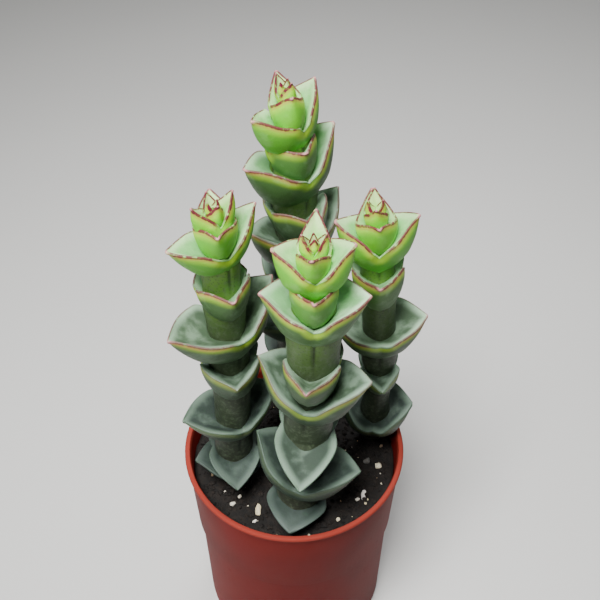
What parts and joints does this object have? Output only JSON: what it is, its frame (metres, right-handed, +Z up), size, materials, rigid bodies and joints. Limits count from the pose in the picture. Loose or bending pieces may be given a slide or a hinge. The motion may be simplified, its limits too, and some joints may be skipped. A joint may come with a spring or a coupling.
{
  "type": "string of buttons succulent in a pot",
  "caption": "Potted succulent whose upright stems are stacked with fused pairs of thick pointed leaves, in a round plastic pot with a deep band under its lip.",
  "frame": {"origin": "centre of the pot's underside", "axes": "+Z up the stems, -Y towards the viewer of the picture, +X to the picture's right"},
  "size_m": [0.0632, 0.0623, 0.175],
  "materials": {
    "pot_plastic": "satin terracotta-coloured moulded plastic, paler on the lip",
    "potting_mix": "dark damp potting mix with pale grit",
    "leaf_flesh": "waxy green leaf with a pale bloom and a thin red edge on the young leaves"
  },
  "bodies": {
    "root": {"pot": "pot_plastic", "soil": "potting_mix", "front_stem": "leaf_flesh", "left_stem": "leaf_flesh", "right_stem": "leaf_flesh", "back_stem": "leaf_flesh"}
  },
  "joints": []
}
